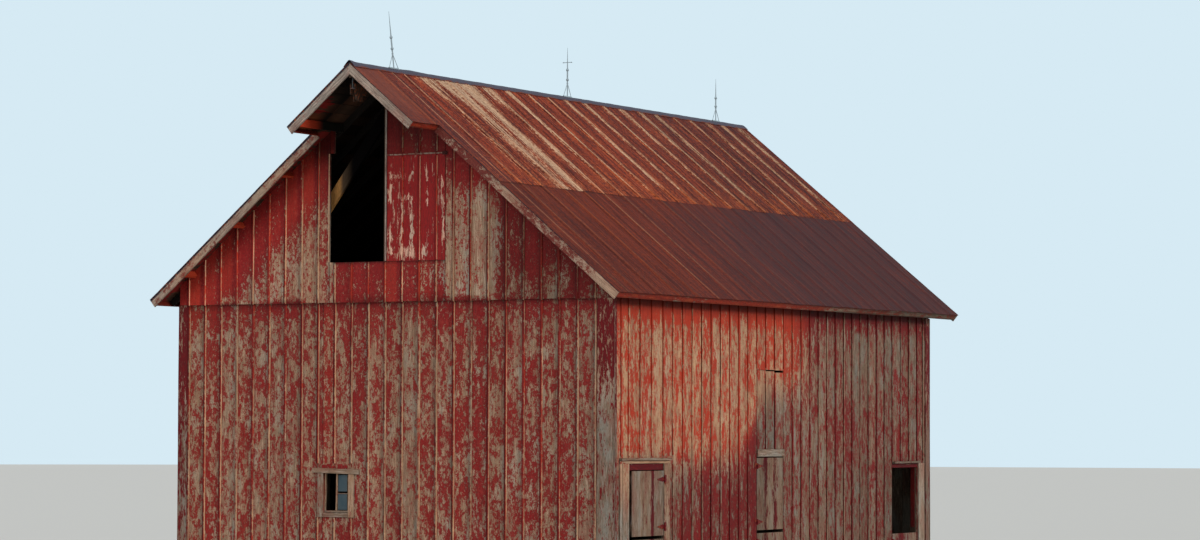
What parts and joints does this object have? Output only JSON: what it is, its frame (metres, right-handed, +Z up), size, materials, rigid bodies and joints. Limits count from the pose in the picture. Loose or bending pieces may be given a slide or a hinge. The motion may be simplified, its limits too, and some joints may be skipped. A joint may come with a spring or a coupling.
{
  "type": "hay barn",
  "caption": "Gabled timber hay barn with board siding, a hay hood and open hay door, a crimped metal roof and hinged two-part doors for animals.",
  "frame": {"origin": "Centre of the footprint of the whole roof, on the ground.", "axes": "+Z up. The ridge runs along Y: the gable with the hay door faces -Y. The animals' doors are in the wall that faces +X."},
  "size_m": [8.5764, 12.674, 9.0087],
  "materials": {
    "bare_timber": "rough sawn, weathered",
    "red_boards": "flaking matte paint",
    "weathered_trim": "bare, grey",
    "red_trim": "flaking matte paint",
    "roof_metal": "rusted",
    "dark_iron": "rough",
    "rusty_iron": "rusted",
    "stone": "rough",
    "window_glass": "clear"
  },
  "bodies": {
    "barn": {"foundation": "stone", "sills": "bare_timber", "posts": "bare_timber", "girts": "bare_timber", "wall_plates": "bare_timber", "tie_beams": "bare_timber", "braces": "bare_timber", "wall_studs": "bare_timber", "loft_girders": "bare_timber", "loft_joists": "bare_timber", "loft_floor": "bare_timber", "rafters": "bare_timber", "ridge_board": "bare_timber", "lookouts": "bare_timber", "roof_boards": "bare_timber", "roof_sheets": "roof_metal", "ridge_cap": "roof_metal", "rake_boards": "weathered_trim", "eave_boards": "red_trim", "front_wall": "red_boards", "front_gable": "red_boards", "rear_wall": "red_boards", "rear_gable": "red_boards", "left_wall": "red_boards", "right_wall": "red_boards", "right_wall_over_doors": "red_boards", "trim_boards": "weathered_trim", "window_frame": "weathered_trim", "window_sash": "weathered_trim", "window_glass": "window_glass", "hay_door": "red_boards", "mow_door": "red_boards", "hinge_plates": "dark_iron", "hay_track": "dark_iron", "hay_carrier": "rusty_iron", "lightning_rods": "dark_iron"},
    "front_upper_leaf": {"front_door_upper": "red_boards", "front_upper_straps": "dark_iron"},
    "front_lower_leaf": {"front_door_lower": "red_boards", "front_lower_straps": "dark_iron"},
    "middle_upper_leaf": {"middle_door_upper": "red_boards", "middle_upper_straps": "dark_iron"},
    "middle_lower_leaf": {"middle_door_lower": "red_boards", "middle_lower_straps": "dark_iron"},
    "rear_lower_leaf": {"rear_door_lower": "red_boards", "rear_lower_straps": "dark_iron"}
  },
  "joints": [
    {"name": "front_upper_hinge", "type": "hinge", "parent": "barn", "child": "front_upper_leaf", "pos_m": [3.998, -3.725, 1.525], "axis": [0, 0, 1], "range_deg": [0, 165]},
    {"name": "front_lower_hinge", "type": "hinge", "parent": "barn", "child": "front_lower_leaf", "pos_m": [3.998, -3.725, 0.611], "axis": [0, 0, 1], "range_deg": [0, 165]},
    {"name": "middle_upper_hinge", "type": "hinge", "parent": "barn", "child": "middle_upper_leaf", "pos_m": [3.976, -0.675, 1.61], "axis": [0, 0, -1], "range_deg": [0, 165]},
    {"name": "middle_lower_hinge", "type": "hinge", "parent": "barn", "child": "middle_lower_leaf", "pos_m": [3.976, -0.675, 0.611], "axis": [0, 0, -1], "range_deg": [0, 165]},
    {"name": "rear_lower_hinge", "type": "hinge", "parent": "barn", "child": "rear_lower_leaf", "pos_m": [3.976, 4.295, 0.5435], "axis": [0, 0, -1], "range_deg": [0, 165]}
  ]
}
